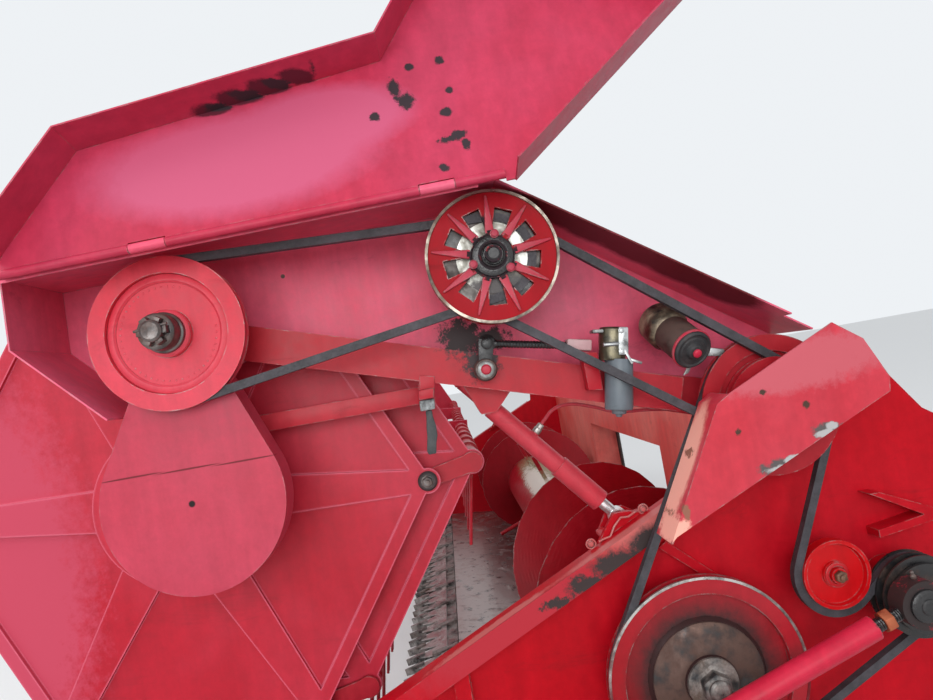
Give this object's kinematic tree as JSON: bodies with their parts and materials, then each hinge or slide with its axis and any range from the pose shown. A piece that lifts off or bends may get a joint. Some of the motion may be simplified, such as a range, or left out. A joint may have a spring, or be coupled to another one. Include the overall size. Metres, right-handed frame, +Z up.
{
  "type": "combine harvester header",
  "caption": "Grain cutting platform of a combine harvester: pick-up reel on lifting arms, cross auger, finger bar with knife, and belt drives with an open cover on the left end.",
  "frame": {"origin": "Middle of the width, on the ground below the auger shaft; the middle skid's sole lies here.", "axes": "+X to the drive side (left in driving direction), +Y to the rear, +Z up."},
  "size_m": [3.4218, 2.0801, 1.7346],
  "materials": {
    "red": "semi-gloss, worn",
    "faded_red": "faded, chalky",
    "bright_red": "semi-gloss",
    "dark_red": "matt, dirty",
    "worn_steel": "worn bright",
    "dark_steel": "oily",
    "chromed": "polished",
    "rubber": "matt"
  },
  "bodies": {
    "platform": {"floor_trough": "worn_steel", "rear_wall": "red", "rear_frame": "faded_red", "throat_seal": "rubber", "side_wall_left": "red", "side_wall_right": "red", "divider_left": "red", "divider_right": "red", "cutter_fingers": "dark_steel", "skids": "dark_steel", "belt_shield": "faded_red", "belt_main": "rubber", "panel_brackets": "red"},
    "reel_frame": {"arm_left": "bright_red", "arm_right": "bright_red", "belt_tray": "faded_red", "chain_case": "faded_red", "control_ring": "dark_red", "belt_reel": "rubber", "belt_variator": "rubber", "speed_adjuster": "worn_steel"},
    "cover": {"belt_cover": "faded_red"},
    "reel": {"reel_core": "red"},
    "tine_control": {"control_plate": "faded_red"},
    "tine_bar_0": {"tine_bar_0": "dark_red"},
    "tine_bar_1": {"tine_bar_1": "dark_red"},
    "tine_bar_2": {"tine_bar_2": "dark_red"},
    "tine_bar_3": {"tine_bar_3": "dark_red"},
    "tine_bar_4": {"tine_bar_4": "dark_red"},
    "tine_bar_5": {"tine_bar_5": "dark_red"},
    "reel_pulley": {"reel_pulley": "bright_red"},
    "variator": {"variator": "bright_red"},
    "countershaft": {"countershaft": "red"},
    "idler": {"idler_pulley": "bright_red"},
    "input_drive": {"input_drive": "dark_steel"},
    "auger": {"auger_tube": "dark_red", "auger_flights": "dark_red", "auger_pulley": "dark_red"},
    "knife": {"knife": "worn_steel"},
    "knife_lever": {"knife_lever": "dark_steel"},
    "knife_rod": {"knife_rod": "bright_red"},
    "ram_barrel_left": {"ram_barrel_left": "red"},
    "ram_rod_left": {"ram_rod_left": "chromed"},
    "ram_barrel_right": {"ram_barrel_right": "red"},
    "ram_rod_right": {"ram_rod_right": "chromed"}
  },
  "joints": [
    {"name": "reel_lift", "type": "hinge", "parent": "platform", "child": "reel_frame", "pos_m": [0, 0.207, 0.806], "axis": [-1, 0, 0], "range_deg": [0, 25]},
    {"name": "cover_hinge", "type": "hinge", "parent": "reel_frame", "child": "cover", "pos_m": [1.752, -0.223, 1.272], "axis": [0, 0.9994, 0.034], "range_deg": [0, 193]},
    {"name": "reel_spin", "type": "hinge", "parent": "reel_frame", "child": "reel", "pos_m": [0, -0.855, 0.819], "axis": [1, 0, 0], "continuous": true},
    {"name": "tine_control_spin", "type": "hinge", "parent": "reel_frame", "child": "tine_control", "pos_m": [1.44, -0.951, 0.802], "axis": [1, 0, 0], "continuous": true},
    {"name": "tine_bar_0_pitch", "type": "hinge", "parent": "reel", "child": "tine_bar_0", "pos_m": [0, -0.35185, 0.77586], "axis": [1, 0, 0], "continuous": true},
    {"name": "tine_bar_1_pitch", "type": "hinge", "parent": "reel", "child": "tine_bar_1", "pos_m": [0, -0.56607, 1.23318], "axis": [1, 0, 0], "continuous": true},
    {"name": "tine_bar_2_pitch", "type": "hinge", "parent": "reel", "child": "tine_bar_2", "pos_m": [0, -1.06922, 1.27631], "axis": [1, 0, 0], "continuous": true},
    {"name": "tine_bar_3_pitch", "type": "hinge", "parent": "reel", "child": "tine_bar_3", "pos_m": [0, -1.35815, 0.86214], "axis": [1, 0, 0], "continuous": true},
    {"name": "tine_bar_4_pitch", "type": "hinge", "parent": "reel", "child": "tine_bar_4", "pos_m": [0, -1.14393, 0.40482], "axis": [1, 0, 0], "continuous": true},
    {"name": "tine_bar_5_pitch", "type": "hinge", "parent": "reel", "child": "tine_bar_5", "pos_m": [0, -0.64078, 0.36169], "axis": [1, 0, 0], "continuous": true},
    {"name": "reel_pulley_spin", "type": "hinge", "parent": "reel_frame", "child": "reel_pulley", "pos_m": [1.645, -0.839, 1.12], "axis": [1, 0, 0], "continuous": true},
    {"name": "variator_spin", "type": "hinge", "parent": "reel_frame", "child": "variator", "pos_m": [1.635, -0.258, 1.156], "axis": [1, 0, 0], "continuous": true},
    {"name": "countershaft_spin", "type": "hinge", "parent": "platform", "child": "countershaft", "pos_m": [1.6, 0.207, 0.806], "axis": [1, 0, 0], "continuous": true},
    {"name": "idler_spin", "type": "hinge", "parent": "platform", "child": "idler", "pos_m": [1.6, 0.267, 0.479], "axis": [1, 0, 0], "continuous": true},
    {"name": "input_spin", "type": "hinge", "parent": "platform", "child": "input_drive", "pos_m": [1.6, 0.404, 0.42], "axis": [1, 0, 0], "continuous": true},
    {"name": "auger_spin", "type": "hinge", "parent": "platform", "child": "auger", "pos_m": [0, 0, 0.338], "axis": [1, 0, 0], "continuous": true},
    {"name": "knife_stroke", "type": "slide", "parent": "platform", "child": "knife", "axis": [1, 0, 0], "range_m": [-0.00728, 0.06892]},
    {"name": "knife_lever_swing", "type": "hinge", "parent": "platform", "child": "knife_lever", "pos_m": [1.594, -0.45266, 0.11822], "axis": [0, -0.1805, 0.9836], "range_deg": [-6, 50]},
    {"name": "knife_rod_swing", "type": "hinge", "parent": "knife_lever", "child": "knife_rod", "pos_m": [1.67321, -0.48875, 0.14413], "axis": [0, -0.1805, 0.9836], "range_deg": [-50, 6]},
    {"name": "ram_barrel_left_swing", "type": "hinge", "parent": "reel_frame", "child": "ram_barrel_left", "pos_m": [1.486, -0.305, 0.892], "axis": [1, 0, 0], "range_deg": [-5, 5]},
    {"name": "ram_rod_left_slide", "type": "slide", "parent": "ram_barrel_left", "child": "ram_rod_left", "axis": [0, 0.6385, -0.7697], "range_m": [-0.001, 0.15214]},
    {"name": "ram_barrel_right_swing", "type": "hinge", "parent": "reel_frame", "child": "ram_barrel_right", "pos_m": [-1.486, -0.305, 0.892], "axis": [1, 0, 0], "range_deg": [-5, 5]},
    {"name": "ram_rod_right_slide", "type": "slide", "parent": "ram_barrel_right", "child": "ram_rod_right", "axis": [0, 0.6385, -0.7697], "range_m": [-0.001, 0.15214]}
  ],
  "couplings": [
    {"joint": "tine_control_spin", "follows": "reel_spin", "ratio": 1},
    {"joint": "tine_bar_0_pitch", "follows": "reel_spin", "ratio": -1},
    {"joint": "tine_bar_1_pitch", "follows": "reel_spin", "ratio": -1},
    {"joint": "tine_bar_2_pitch", "follows": "reel_spin", "ratio": -1},
    {"joint": "tine_bar_3_pitch", "follows": "reel_spin", "ratio": -1},
    {"joint": "tine_bar_4_pitch", "follows": "reel_spin", "ratio": -1},
    {"joint": "tine_bar_5_pitch", "follows": "reel_spin", "ratio": -1},
    {"joint": "reel_pulley_spin", "follows": "reel_spin", "ratio": 3},
    {"joint": "variator_spin", "follows": "reel_spin", "ratio": 5.2657},
    {"joint": "countershaft_spin", "follows": "auger_spin", "ratio": 1.4519},
    {"joint": "idler_spin", "follows": "auger_spin", "ratio": -2.4506},
    {"joint": "input_spin", "follows": "auger_spin", "ratio": 2.7323},
    {"joint": "knife_lever_swing", "follows": "knife_stroke", "rad_per_m": 12.13},
    {"joint": "knife_rod_swing", "follows": "knife_stroke", "rad_per_m": -12.13},
    {"joint": "ram_barrel_left_swing", "follows": "reel_lift", "ratio": 0.0249},
    {"joint": "ram_rod_left_slide", "follows": "reel_lift", "m_per_rad": 0.3404},
    {"joint": "ram_barrel_right_swing", "follows": "reel_lift", "ratio": 0.0249},
    {"joint": "ram_rod_right_slide", "follows": "reel_lift", "m_per_rad": 0.3404}
  ]
}
